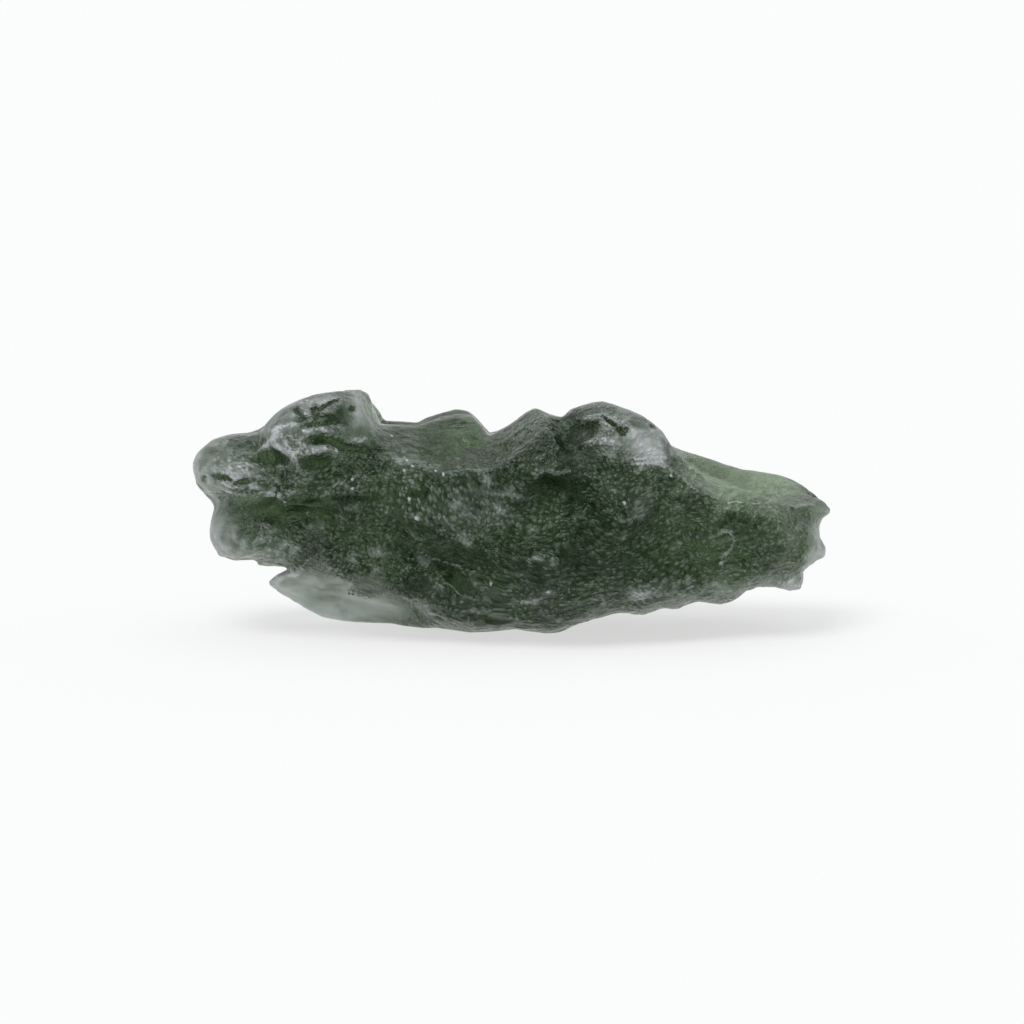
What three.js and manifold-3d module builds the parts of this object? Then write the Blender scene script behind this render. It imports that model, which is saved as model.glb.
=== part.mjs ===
// A natural piece of moldavite: one body of green impact glass, etched into lobes, knobs, deep scoops and
// thin ragged edges. Sizes are in millimetres. +X runs along the stone, -Y is its front and +Z is up.
// The origin is under the middle of the stone, on the plane of the small flat spot that it rests on.
import * as THREE from "three";
import { mergeVertices } from "three/addons/utils/BufferGeometryUtils.js";
import Module from "manifold-3d";

const BELLY = 5.0; // half thickness at the middle, front to back
const REACH = 14.9; // half the length over which that thickness runs out
const RIM = 4.0; // how far in from its outline the stone still gets thicker
const BOW = 1.0; // how far the two ends curve back
const LEAN = 0.14; // how much further back each millimetre of height lies
const MID_HEIGHT = 5.0;
const EDGE_ROUND = 0.7; // softness of the edge along the outline
const EDGE_ROOM = 0.2; // how far the outline is let out to make up for that softness
const CALM_RIM = 1.2; // etching fades out over this last stretch before the outline
const VIEW_TILT = THREE.MathUtils.degToRad(10); // the outline is drawn from this far above the horizon
const FOOT_FRONT_Y = -2.0; // where the outline's lowest point touches the ground

// The stone's outline seen from the front: distance along the stone and height in that view.
const OUTLINE = [
  // upper left lobe
  [-14.4, 6.7], [-14.3, 7.5], [-14.1, 8.1], [-13.4, 8.7], [-12.7, 8.9], [-11.8, 9.0], [-11.3, 9.25],
  // left knob
  [-10.7, 9.8], [-9.9, 10.3], [-8.9, 10.7], [-8.0, 10.85], [-7.4, 11.0], [-6.8, 11.0], [-6.4, 10.8],
  [-6.2, 10.15], [-5.85, 9.45],
  // saddle, its back peak and the notch
  [-4.9, 9.4], [-4.2, 9.35], [-3.7, 9.6], [-2.5, 9.95], [-1.95, 9.95], [-1.65, 9.8], [-1.0, 8.9],
  // middle crest
  [0, 9.45], [0.6, 9.8], [1.1, 10.0], [1.6, 9.8], [2.35, 9.7],
  // right boss
  [2.75, 10.1], [3.65, 10.35], [4.1, 10.4], [4.65, 10.2], [5.85, 9.7], [6.9, 9.1], [7.3, 8.55],
  // back rim of the right scoop
  [8.1, 8.25], [9.7, 7.5], [10.5, 7.25], [12.2, 7.1], [12.85, 6.9], [13.3, 6.6],
  // ragged right end
  [14.2, 5.95], [14.5, 5.6], [14.4, 5.4], [14.1, 5.2], [13.95, 4.85], [14.0, 4.35], [14.3, 3.85],
  [14.2, 3.45], [13.8, 3.25], [13.5, 3.05], [13.2, 2.85], [13.2, 2.3], [13.05, 1.95], [12.6, 1.9],
  // underside, from right to left
  [11.8, 2.1], [11.1, 2.15], [10.6, 1.95], [10.1, 1.55], [9.45, 1.3], [8.2, 1.45], [7.5, 1.15],
  [6.8, 1.2], [6.0, 0.95], [4.8, 1.1], [3.5, 0.7], [2.8, 0.4], [2.2, 0.05], [1.6, 0], [0.2, 0.25],
  [-0.5, 0.15], [-1.9, 0.05], [-3.4, 0.3], [-4.1, 0.2], [-4.9, 0.2],
  // flake behind the lower left
  [-5.4, 0.45], [-7.5, 0.7], [-8.5, 0.85], [-9.1, 1.2], [-9.7, 1.6], [-10.4, 1.95], [-10.85, 2.3],
  [-10.6, 2.65], [-10.1, 2.9],
  // lower left lobe
  [-10.4, 3.05], [-11.4, 3.05], [-11.4, 3.35], [-11.7, 3.4], [-12.4, 3.3], [-13.2, 3.5], [-13.55, 4.2],
  [-13.55, 4.8], [-13.45, 5.7], [-14.1, 6.35],
];

// The open gap between the flake and the lower left lobe, in the same view.
const GAP = [[-13, 2.4], [-11, 2.35], [-10.6, 2.65], [-10, 2.95], [-10.4, 3.05], [-11.4, 3.05], [-13, 3.2]];

// A lump is added to the stone and a scoop is etched out of it. centre is its middle, radii are its half
// sizes, turn is its rotation in degrees about X, Y and Z, and blend is how softly it runs into the rest.
const lump = (name, centre, radii, turn, blend) => ({ name, centre, radii, turn, blend, hollow: false });
const scoop = (name, centre, radii, turn, blend) => ({ name, centre, radii, turn, blend, hollow: true });

// The forms of the stone in the order in which they are worked into it.
const FORMS = [
  lump("upper left lobe", [-12.1, -0.6, 7.5], [2.4, 2.7, 1.5], [0, 0, 0], 0.7),
  lump("left knob", [-8.7, -2.0, 9.2], [2.8, 2.3, 1.8], [10, -18, 0], 0.8),
  lump("left shelf", [-7.4, -3.2, 6.7], [3.4, 1.3, 0.9], [0, -8, 0], 0.9),
  lump("lower left lobe", [-11.2, -0.4, 4.4], [2.5, 2.6, 1.3], [0, 0, 0], 0.8),
  lump("middle crest", [1.4, -1.0, 8.4], [1.0, 3.8, 1.4], [24, 0, 8], 0.8),
  lump("right boss", [4.8, -0.9, 8.5], [2.7, 2.9, 1.9], [0, 14, 0], 0.8),
  lump("front belly", [1.0, -2.6, 4.6], [8.5, 3.2, 3.6], [0, 5, 0], 2.0),
  lump("right shoulder", [9.6, -1.4, 4.2], [4.2, 2.6, 2.0], [0, 6, 0], 1.2),
  lump("back swell", [-3.0, 3.0, 4.4], [6.0, 2.6, 3.0], [0, -6, 0], 1.6),
  lump("back ridge", [6.0, 3.0, 5.0], [5.0, 1.8, 1.8], [0, 18, 0], 1.2),
  scoop("saddle", [-2.4, -1.5, 11.4], [4.4, 6.5, 3.2], [20, 0, 0], 0.3),
  scoop("right scoop", [11.9, 0.3, 10.4], [6.0, 5.2, 4.8], [5, 14, -20], 0.15),
  lump("back peak", [-3.8, 3.3, 7.8], [4.6, 1.5, 2.6], [0, -6, 6], 0.5),
  lump("back rim, right", [10.2, 2.7, 5.9], [4.2, 1.0, 1.3], [0, 14, 4], 0.6),
  scoop("notch in the back rim", [-0.5, 3.4, 10.4], [1.4, 2.6, 2.0], [0, 0, 0], 0.3),
  scoop("cleft by the boss", [2.4, -2.6, 9.8], [0.8, 1.4, 1.0], [24, 0, 8], 0.4),
  scoop("pocket under the crest", [2.2, -5.9, 7.1], [1.1, 1.2, 0.8], [0, 15, 0], 0.3),
  scoop("recess under the lip", [-10.6, -3.6, 5.8], [2.7, 1.5, 0.6], [0, 0, 0], 0.35),
  scoop("lower left hollow", [-9.0, -4.0, -0.6], [6.4, 5.2, 3.6], [0, 6, 0], 0.3),
  lump("flake", [-7.4, 1.3, 1.6], [4.4, 0.85, 2.0], [-16, 14, 0], 0.3),
  scoop("hollow behind the flake", [-9.6, 5.9, 0.4], [5.6, 4.2, 3.0], [0, 8, 0], 0.3),
  scoop("front dish, left", [-5.6, -6.5, 4.6], [3.6, 2.6, 1.8], [0, 12, 0], 1.3),
  scoop("front dish, middle", [0.2, -8.2, 6.0], [3.8, 3.0, 1.9], [0, -14, 0], 1.3),
  scoop("front dish, right", [8.8, -6.0, 4.2], [3.4, 2.6, 2.0], [0, 10, 0], 1.2),
  scoop("back bowl, left", [-9.4, 5.4, 8.0], [3.8, 3.6, 3.2], [0, -10, 0], 0.35),
  scoop("back bowl, middle", [-1.6, 7.4, 4.8], [3.8, 3.2, 2.6], [0, 8, 0], 0.35),
  scoop("back bowl, right", [8.6, 6.0, 3.2], [4.0, 3.2, 2.4], [0, 16, 0], 0.35),
  scoop("back pocket", [4.2, 5.2, 8.4], [2.4, 2.6, 1.9], [0, 10, 0], 0.3),
  scoop("back groove", [4.0, 6.4, 4.2], [1.2, 2.2, 3.4], [0, 30, 0], 0.4),
  scoop("left end bite", [-14.6, 3.2, 5.6], [2.2, 2.4, 2.0], [0, 0, 20], 0.35),
  scoop("underside, right", [7.6, 0.6, -1.4], [3.6, 3.0, 3.0], [0, 0, 0], 0.4),
  scoop("underside, back", [-0.6, 5.0, -2.0], [7.0, 3.8, 3.4], [0, 0, 0], 0.4),
];

// Waves of etching, each finer and shallower than the one before: wavelength and depth.
const RELIEF = [
  { wavelength: 7.0, depth: 0.2 },
  { wavelength: 3.1, depth: 0.12 },
  { wavelength: 1.7, depth: 0.06 },
];

const BLOCK = new THREE.Vector3(31, 14.5, 13); // the box of squares that is drawn onto the stone
const SQUARES = [62, 17, 16]; // its squares along x, y and z
const BLOCK_CENTRE_Z = 5.2;
const SPINE_SHARE = 0.66; // the spine inside the stone, as a share of the block's length
const SPINE_SLOPE = -0.08; // and how it comes down towards the right
const MARCH_STEPS = 80;
const HALVINGS = 14;
const GROUND_DEPTH = 5; // thickness of the block that cuts the resting spot flat

const LIGHT_GREEN = new THREE.Color().setRGB(0.2, 0.27, 0.19);

// Distance from the outline in the front view, positive inside it.
function insideOutline(x, height) {
  let nearest = Infinity;
  let inside = false;
  OUTLINE.forEach(([x2, h2], i) => {
    const [x1, h1] = OUTLINE[(i + OUTLINE.length - 1) % OUTLINE.length];
    const [dx, dh] = [x2 - x1, h2 - h1];
    const along = ((x - x1) * dx + (height - h1) * dh) / (dx * dx + dh * dh);
    const share = THREE.MathUtils.clamp(along, 0, 1);
    nearest = Math.min(nearest, Math.hypot(x - x1 - share * dx, height - h1 - share * dh));
    if (h1 > height !== h2 > height && x < x1 + (dx * (height - h1)) / dh) inside = !inside;
  });
  return inside ? nearest : -nearest;
}

function smoothMax(a, b, blend) {
  const near = Math.max(blend - Math.abs(a - b), 0) / blend;
  return Math.max(a, b) + (near * near * blend) / 4;
}

function smoothMin(a, b, blend) {
  return -smoothMax(-a, -b, blend);
}

// Each form with its rotation worked out once.
const forms = FORMS.map(({ centre, radii, turn, blend, hollow }) => ({
  centre: new THREE.Vector3(...centre),
  radii: new THREE.Vector3(...radii),
  back: new THREE.Quaternion().setFromEuler(new THREE.Euler(...turn.map(THREE.MathUtils.degToRad))).invert(),
  blend,
  hollow,
}));

// About how far a point lies outside an ellipsoid.
function outsideEllipsoid(point, { centre, radii, back }) {
  const q = point.clone().sub(centre).applyQuaternion(back).divide(radii);
  const reach = q.length();
  const slope = q.divide(radii).length();
  return slope < 1e-9 ? -Math.min(...radii) : (reach * (reach - 1)) / slope;
}

// The plain body: thickest along its middle and rounded off towards its outline.
function outsideBody({ x, y, z }, inset) {
  const thickness = BELLY * Math.sqrt(Math.max(1 - (x / REACH) ** 2, 0.01));
  const middle = BOW * (x / REACH) ** 2 + LEAN * (z - MID_HEIGHT);
  const toRim = (RIM - Math.min(inset, RIM)) / RIM;
  return (Math.hypot(toRim, (y - middle) / thickness) - 1) * Math.min(RIM, thickness);
}

// A soft wave pattern, from about -1 to 1.
function waves({ x, y, z }) {
  return (Math.sin(x) * Math.cos(y) + Math.sin(y) * Math.cos(z) + Math.sin(z) * Math.cos(x)) / 1.5;
}

function etching(point) {
  let total = 0;
  RELIEF.forEach(({ wavelength, depth }, i) => {
    const axis = new THREE.Vector3(1, i + 1, 2 - i).normalize();
    const q = point.clone().applyAxisAngle(axis, 1.1 * (i + 1));
    total += depth * waves(q.multiplyScalar((2 * Math.PI) / wavelength).addScalar(4.7 * i));
  });
  return total;
}

// Height in the front view.
function viewHeight(y, z) {
  return z * Math.cos(VIEW_TILT) + (y - FOOT_FRONT_Y) * Math.sin(VIEW_TILT);
}

// Below zero inside the stone and above zero outside it, near enough a distance in millimetres.
function outsideStone(point) {
  const inset = insideOutline(point.x, viewHeight(point.y, point.z)) + EDGE_ROOM;
  let field = outsideBody(point, inset);
  for (const form of forms) {
    const outside = outsideEllipsoid(point, form);
    field = form.hollow ? smoothMax(field, -outside, form.blend) : smoothMin(field, outside, form.blend);
  }
  field += etching(point) * THREE.MathUtils.clamp(inset / CALM_RIM, 0, 1);
  return smoothMax(field, -inset, EDGE_ROUND);
}

// The first place, coming in along a line, where the stone begins.
function surfacePoint(outer, inner) {
  const at = (share) => inner.clone().lerp(outer, share);
  let near = 1;
  while (near > 0 && outsideStone(at(near)) > 0) near -= 1 / MARCH_STEPS;
  let far = near + 1 / MARCH_STEPS;
  for (let i = 0; i < HALVINGS; i++) {
    const middle = (near + far) / 2;
    if (outsideStone(at(middle)) > 0) far = middle;
    else near = middle;
  }
  return at(near);
}

// A box of squares whose every corner is drawn in towards the stone's spine until it meets the surface.
function stoneGeometry() {
  const box = new THREE.BoxGeometry(...BLOCK, ...SQUARES);
  box.deleteAttribute("normal");
  box.deleteAttribute("uv");
  const geometry = mergeVertices(box);
  const corners = geometry.attributes.position;
  const centre = new THREE.Vector3(0, 0, BLOCK_CENTRE_Z);
  for (let i = 0; i < corners.count; i++) {
    const outer = new THREE.Vector3().fromBufferAttribute(corners, i);
    const spine = new THREE.Vector3(SPINE_SHARE, 0, SPINE_SHARE * SPINE_SLOPE).multiplyScalar(outer.x);
    const inner = spine.add(centre);
    corners.setXYZ(i, ...surfacePoint(outer.add(centre), inner));
  }
  return geometry;
}

const wasm = await Module();
wasm.setup();

function solidFrom(geometry) {
  geometry.deleteAttribute("normal");
  geometry.deleteAttribute("uv");
  const merged = mergeVertices(geometry);
  const vertProperties = merged.attributes.position.array;
  return new wasm.Manifold(new wasm.Mesh({ numProp: 3, vertProperties, triVerts: merged.index.array }));
}

function geometryFrom(solid) {
  const { vertProperties, triVerts } = solid.getMesh();
  const geometry = new THREE.BufferGeometry();
  geometry.setAttribute("position", new THREE.BufferAttribute(vertProperties, 3));
  geometry.setIndex(new THREE.BufferAttribute(triVerts, 1));
  return geometry;
}

// Everything below the resting plane.
function groundSolid() {
  const block = new THREE.BoxGeometry(2 * BLOCK.x, 2 * BLOCK.x, GROUND_DEPTH);
  return solidFrom(block.translate(0, 0, -GROUND_DEPTH / 2));
}

// The gap as a bar running right through the stone along the line of sight.
function gapSolid() {
  const corners = GAP.map(([x, height]) => new THREE.Vector2(x, height));
  const options = { depth: 2 * BLOCK.y, bevelEnabled: false };
  const bar = new THREE.ExtrudeGeometry(new THREE.Shape(corners), options);
  bar.translate(0, 0, -BLOCK.y).rotateX(Math.PI / 2 - VIEW_TILT);
  return solidFrom(bar.translate(0, FOOT_FRONT_Y, 0));
}

function moldavite() {
  const solid = solidFrom(stoneGeometry()).subtract(gapSolid()).subtract(groundSolid());
  const geometry = geometryFrom(solid);
  geometry.computeBoundingBox();
  const middle = geometry.boundingBox.getCenter(new THREE.Vector3());
  geometry.translate(-middle.x, -middle.y, 0);
  geometry.computeVertexNormals();
  const glass = new THREE.MeshStandardMaterial({ color: LIGHT_GREEN, roughness: 0.45, metalness: 0 });
  const stone = new THREE.Mesh(geometry, glass);
  stone.name = "moldavite";
  return stone;
}

const group = new THREE.Group();
group.add(moldavite());

export default group;
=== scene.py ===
"""A piece of moldavite, natural green glass, on a plain pale floor in soft studio light.

The stone is one piece. Its surface is worked out in millimetres on a fine grid, from the same outline, lumps
and scoops as the solid it replaces. It is then etched with finer relief and moved into the frame, in metres.
"""
import math

import bpy
import numpy as np
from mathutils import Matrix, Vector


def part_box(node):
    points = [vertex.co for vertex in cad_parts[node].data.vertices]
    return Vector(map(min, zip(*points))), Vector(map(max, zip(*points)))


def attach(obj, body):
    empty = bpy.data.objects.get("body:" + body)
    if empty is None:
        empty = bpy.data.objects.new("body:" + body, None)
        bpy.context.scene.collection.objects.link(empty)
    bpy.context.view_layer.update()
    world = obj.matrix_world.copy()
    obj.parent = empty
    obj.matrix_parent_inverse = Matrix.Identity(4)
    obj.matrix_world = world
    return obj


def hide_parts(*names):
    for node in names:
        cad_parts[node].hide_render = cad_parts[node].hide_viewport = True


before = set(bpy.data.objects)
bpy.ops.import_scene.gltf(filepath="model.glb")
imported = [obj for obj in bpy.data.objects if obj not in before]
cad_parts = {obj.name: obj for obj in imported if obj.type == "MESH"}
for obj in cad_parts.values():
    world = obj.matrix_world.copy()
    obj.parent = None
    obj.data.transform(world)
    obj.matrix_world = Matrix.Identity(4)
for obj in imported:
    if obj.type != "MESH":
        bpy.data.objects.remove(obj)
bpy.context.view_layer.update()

import openvdb
from mathutils import Euler, Matrix, Vector

MM = 0.001
NODE = "moldavite"

# The plain body, in millimetres.
BELLY = 5.0  # half thickness at the middle, front to back
REACH = 14.9  # half the length over which that thickness runs out
RIM = 4.0  # how far in from its outline the stone still gets thicker
BOW = 1.0  # how far the two ends curve back
LEAN = 0.14  # how much further back each millimetre of height lies
MID_HEIGHT = 5.0
THIN_END = 0.01  # keeps the body from running out before its outline does
EDGE_ROUND = 0.7  # softness of the edge along the outline
EDGE_ROOM = 0.2  # how far the outline is let out to make up for that softness
GAP_ROUND = 0.15
FOOT_ROUND = 0.1
CALM_RIM = 1.2  # etching fades out over this last stretch before the outline
VIEW_TILT = math.radians(10)  # the outline is drawn from this far above the horizon
FOOT_FRONT_Y = -2.0  # where the outline's lowest point touches the ground

# The stone's outline seen from the front: distance along the stone and height in that view.
OUTLINE = [
    # upper left lobe
    (-14.4, 6.7), (-14.3, 7.5), (-14.1, 8.1), (-13.4, 8.7), (-12.7, 8.9), (-11.8, 9.0), (-11.3, 9.25),
    # left knob
    (-10.7, 9.8), (-9.9, 10.3), (-8.9, 10.7), (-8.0, 10.85), (-7.4, 11.0), (-6.8, 11.0), (-6.4, 10.8),
    (-6.2, 10.15), (-5.85, 9.45),
    # saddle, its back peak and the notch
    (-4.9, 9.4), (-4.2, 9.35), (-3.7, 9.6), (-2.5, 9.95), (-1.95, 9.95), (-1.65, 9.8), (-1.0, 8.9),
    # middle crest
    (0, 9.45), (0.6, 9.8), (1.1, 10.0), (1.6, 9.8), (2.35, 9.7),
    # right boss
    (2.75, 10.1), (3.65, 10.35), (4.1, 10.4), (4.65, 10.2), (5.85, 9.7), (6.9, 9.1), (7.3, 8.55),
    # back rim of the right scoop
    (8.1, 8.25), (9.7, 7.5), (10.5, 7.25), (12.2, 7.1), (12.85, 6.9), (13.3, 6.6),
    # ragged right end
    (14.2, 5.95), (14.5, 5.6), (14.4, 5.4), (14.1, 5.2), (13.95, 4.85), (14.0, 4.35), (14.3, 3.85),
    (14.2, 3.45), (13.8, 3.25), (13.5, 3.05), (13.2, 2.85), (13.2, 2.3), (13.05, 1.95), (12.6, 1.9),
    # underside, from right to left
    (11.8, 2.1), (11.1, 2.15), (10.6, 1.95), (10.1, 1.55), (9.45, 1.3), (8.2, 1.45), (7.5, 1.15),
    (6.8, 1.2), (6.0, 0.95), (4.8, 1.1), (3.5, 0.7), (2.8, 0.4), (2.2, 0.05), (1.6, 0), (0.2, 0.25),
    (-0.5, 0.15), (-1.9, 0.05), (-3.4, 0.3), (-4.1, 0.2), (-4.9, 0.2),
    # flake behind the lower left
    (-5.4, 0.45), (-7.5, 0.7), (-8.5, 0.85), (-9.1, 1.2), (-9.7, 1.6), (-10.4, 1.95), (-10.85, 2.3),
    (-10.6, 2.65), (-10.1, 2.9),
    # lower left lobe
    (-10.4, 3.05), (-11.4, 3.05), (-11.4, 3.35), (-11.7, 3.4), (-12.4, 3.3), (-13.2, 3.5), (-13.55, 4.2),
    (-13.55, 4.8), (-13.45, 5.7), (-14.1, 6.35),
]

# The forms of the stone in the order in which they are worked into it: a lump is added and a scoop is etched
# away. Each has its centre, its half sizes, its rotation in degrees about X, Y and Z, and its softness.
FORMS = [
    ("lump", "upper left lobe", (-12.1, -0.6, 7.5), (2.4, 2.7, 1.5), (0, 0, 0), 0.7),
    ("lump", "left knob", (-8.7, -2.0, 9.2), (2.8, 2.3, 1.8), (10, -18, 0), 0.8),
    ("lump", "left shelf", (-7.4, -3.2, 6.7), (3.4, 1.3, 0.9), (0, -8, 0), 0.9),
    ("lump", "lower left lobe", (-11.2, -0.4, 4.4), (2.5, 2.6, 1.3), (0, 0, 0), 0.8),
    ("lump", "middle crest", (1.4, -1.0, 8.4), (1.0, 3.8, 1.4), (24, 0, 8), 0.8),
    ("lump", "right boss", (4.8, -0.9, 8.5), (2.7, 2.9, 1.9), (0, 14, 0), 0.8),
    ("lump", "front belly", (1.0, -2.6, 4.6), (8.5, 3.2, 3.6), (0, 5, 0), 2.0),
    ("lump", "right shoulder", (9.6, -1.4, 4.2), (4.2, 2.6, 2.0), (0, 6, 0), 1.2),
    ("lump", "back swell", (-3.0, 3.0, 4.4), (6.0, 2.6, 3.0), (0, -6, 0), 1.6),
    ("lump", "back ridge", (6.0, 3.0, 5.0), (5.0, 1.8, 1.8), (0, 18, 0), 1.2),
    ("scoop", "saddle", (-2.4, -1.5, 11.4), (4.4, 6.5, 3.2), (20, 0, 0), 0.3),
    ("scoop", "right scoop", (11.9, 0.3, 10.4), (6.0, 5.2, 4.8), (5, 14, -20), 0.15),
    ("lump", "back peak", (-3.8, 3.3, 7.8), (4.6, 1.5, 2.6), (0, -6, 6), 0.5),
    ("lump", "back rim, right", (10.2, 2.7, 5.9), (4.2, 1.0, 1.3), (0, 14, 4), 0.6),
    ("scoop", "notch in the back rim", (-0.5, 3.4, 10.4), (1.4, 2.6, 2.0), (0, 0, 0), 0.3),
    ("scoop", "cleft by the boss", (2.4, -2.6, 9.8), (0.8, 1.4, 1.0), (24, 0, 8), 0.4),
    ("scoop", "pocket under the crest", (2.2, -5.9, 7.1), (1.1, 1.2, 0.8), (0, 15, 0), 0.3),
    ("scoop", "recess under the lip", (-10.6, -3.6, 5.8), (2.7, 1.5, 0.6), (0, 0, 0), 0.35),
    ("scoop", "lower left hollow", (-9.0, -4.0, -0.6), (6.4, 5.2, 3.6), (0, 6, 0), 0.3),
    ("lump", "flake", (-7.4, 1.3, 1.6), (4.4, 0.85, 2.0), (-16, 14, 0), 0.3),
    ("scoop", "hollow behind the flake", (-9.6, 5.9, 0.4), (5.6, 4.2, 3.0), (0, 8, 0), 0.3),
    ("scoop", "front dish, left", (-5.6, -6.5, 4.6), (3.6, 2.6, 1.8), (0, 12, 0), 1.3),
    ("scoop", "front dish, middle", (0.2, -8.2, 6.0), (3.8, 3.0, 1.9), (0, -14, 0), 1.3),
    ("scoop", "front dish, right", (8.8, -6.0, 4.2), (3.4, 2.6, 2.0), (0, 10, 0), 1.2),
    ("scoop", "back bowl, left", (-9.4, 5.4, 8.0), (3.8, 3.6, 3.2), (0, -10, 0), 0.35),
    ("scoop", "back bowl, middle", (-1.6, 7.4, 4.8), (3.8, 3.2, 2.6), (0, 8, 0), 0.35),
    ("scoop", "back bowl, right", (8.6, 6.0, 3.2), (4.0, 3.2, 2.4), (0, 16, 0), 0.35),
    ("scoop", "back pocket", (4.2, 5.2, 8.4), (2.4, 2.6, 1.9), (0, 10, 0), 0.3),
    ("scoop", "back groove", (4.0, 6.4, 4.2), (1.2, 2.2, 3.4), (0, 30, 0), 0.4),
    ("scoop", "left end bite", (-14.6, 3.2, 5.6), (2.2, 2.4, 2.0), (0, 0, 20), 0.35),
    ("scoop", "underside, right", (7.6, 0.6, -1.4), (3.6, 3.0, 3.0), (0, 0, 0), 0.4),
    ("scoop", "underside, back", (-0.6, 5.0, -2.0), (7.0, 3.8, 3.4), (0, 0, 0), 0.4),
]

# Waves of etching, each finer and shallower than the one before: wavelength and depth.
RELIEF = [(7.0, 0.2), (3.1, 0.12), (1.7, 0.06)]
WAVE_TURN = 1.1  # how much further each wave is turned, in radians
WAVE_SHIFT = 4.7  # and how much further it is moved along

# The open gap between the flake and the lower left lobe, in the front view.
GAP = [(-13, 2.4), (-11, 2.35), (-10.6, 2.65), (-10, 2.95), (-10.4, 3.05), (-11.4, 3.05), (-13, 3.2)]

# The grid that the surface is worked out on.
CELL = 0.117
GRID_LOW = np.array([-15.0, -7.2, -0.6])
GRID_HIGH = np.array([15.1, 7.6, 11.9])
FORM_MARGIN = 0.5  # how far round a form the grid is worked over
FIELD_LIMIT = 1.0  # the field is cut off this far from the surface

# The seed of each kind of noise. One that is made of layers or directions also takes the next few.
SEEDS = {"rough": 7, "cups": 11, "grit": 23, "warp": 40, "ragged": 60, "frost_and_sheen": 83, "patches": 97}

# Slow noise that bends the finer relief, the patches and the flow.
WARP_SIZE = 2.6
WARP_SPREAD = 31  # keeps its three directions apart
FLOW_WARP = 0.35

# Finer relief that only this surface carries, in millimetres.
CUP_SIZE = 1.9
CUP_DEPTH = 0.16
CUP_LEVEL = 0.4  # the squared distance from a cup's middle at which nothing is taken or added
GRIT_SIZE = 0.5
GRIT_DEPTH = 0.07
GRIT_LEVEL = 0.5
RELIEF_WARP = 0.8
ROUGH_SIZE = 4.0  # the size of the areas where the cups are deeper
ROUGH_RANGE = (0.55, 0.45)  # the middle and the swing of that depth
TOP_FADE = (1.3, -0.2)  # how the relief fades as a face turns upwards
TOP_LOSS = 0.7
WINDOW_DEPTH = 0.05
WINDOW_WALL = (0.1, 0.7)
THREAD_HEIGHT = 0.05
THREAD_WALL = (0.4, 0.9)
TERRACE_CENTRE = (6.0, 7.6)
TERRACE_SPREAD = (1.3, 0.9)
TERRACE_SLOPE = 0.25
TERRACE_STEP = 0.32
TERRACE_DEPTH = 0.05
FOOT_FADE = 0.5  # the relief fades in over this height above the ground
BULGE_SMOOTHINGS = 3

# How the glass flowed: x with the slope of the streaks there, seen from the front.
FLOW = [(-15, -0.1), (-9, -0.18), (-4, -0.45), (-1, -0.4), (2, -0.05), (5, 0.18), (8, 0.32), (15, 0.45)]
FLOW_SPAN = (-16, 16, 641)  # from where to where it is followed, and in how many points

# Marks are only on faces that look forward, fade at their edges and are a little ragged. Each fade here is a
# slope and a start.
FRONT_FADE = (2.5, 0.3)
MARK_EDGE = (1.6, 0.4)
RAGGED_SIZE = 0.8
RAGGED_SPREAD = 17
RAGGED_REACH = 0.12

# Dark clean windows seen from the front. Each has its middle, its half sizes and its slope in degrees.
WINDOWS = [
    ((-8.7, 9.6), (0.95, 0.28), 6),
    ((-8.2, 8.75), (0.95, 0.32), 4),
    ((-7.3, 8.4), (0.9, 0.18), -6),
    ((-10.7, 7.9), (0.8, 0.3), -15),
    ((-8.8, 7.7), (0.75, 0.3), 5),
    ((-12.9, 7.0), (0.4, 0.14), -12),
    ((-12.0, 6.85), (0.45, 0.14), 14),
    ((-8.8, 10.1), (0.18, 0.18), 0),
    ((-7.1, 10.2), (0.16, 0.16), 0),
    ((-9.4, 10.0), (0.22, 0.14), -40),
    ((-8.1, 10.4), (0.5, 0.08), 28),
    ((-13.7, 7.0), (0.14, 0.14), 0),
    ((-8.8, 5.9), (3.2, 0.3), 4),
    ((-2.6, 2.45), (1.25, 0.42), -38),
    ((2.2, 6.85), (0.85, 0.45), -8),
    ((2.4, 8.1), (0.35, 0.2), 10),
    ((3.2, 9.1), (0.7, 0.4), 30),
    ((-6.4, 2.1), (0.8, 0.45), 10),
    ((4.9, 9.2), (0.32, 0.16), -30),
    ((4.4, 9.55), (0.3, 0.1), -20),
    ((6.35, 9.3), (0.2, 0.12), -40),
]

# Pale smooth patches seen from the front, given in the same way, with their own edge and their frost.
SOFT_EDGE = (1.7, 0.2)
PATCH_FROST = 0.42
PALE_PATCHES = [
    ((-12.7, 7.4), (0.25, 0.25), 0),
    ((-6.9, 9.5), (0.7, 0.8), -30),
    ((-7.1, 8.9), (0.8, 0.22), -14),
    ((-10.3, 9.5), (1.2, 0.25), 42),
    ((-9.3, 10.35), (0.9, 0.25), 20),
    ((-6.0, 3.7), (0.5, 0.28), -15),
    ((-9.8, 3.8), (0.35, 0.22), 20),
    ((-3.8, 3.2), (0.4, 0.3), -20),
    ((-4.2, 1.2), (0.9, 0.35), -12),
    ((-1.6, 1.0), (0.8, 0.2), -6),
    ((0.9, 1.5), (0.7, 0.18), 8),
    ((5.8, 5.4), (0.6, 0.3), 20),
    ((6.2, 8.9), (1.1, 0.5), -28),
    ((6.4, 8.2), (0.8, 0.35), -20),
    ((9.4, 2.0), (0.8, 0.4), 30),
    ((5.9, 1.9), (1.5, 0.5), 8),
    ((1.7, 1.85), (0.22, 0.18), 0),
    ((12.2, 2.3), (0.9, 0.35), 0),
]

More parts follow.
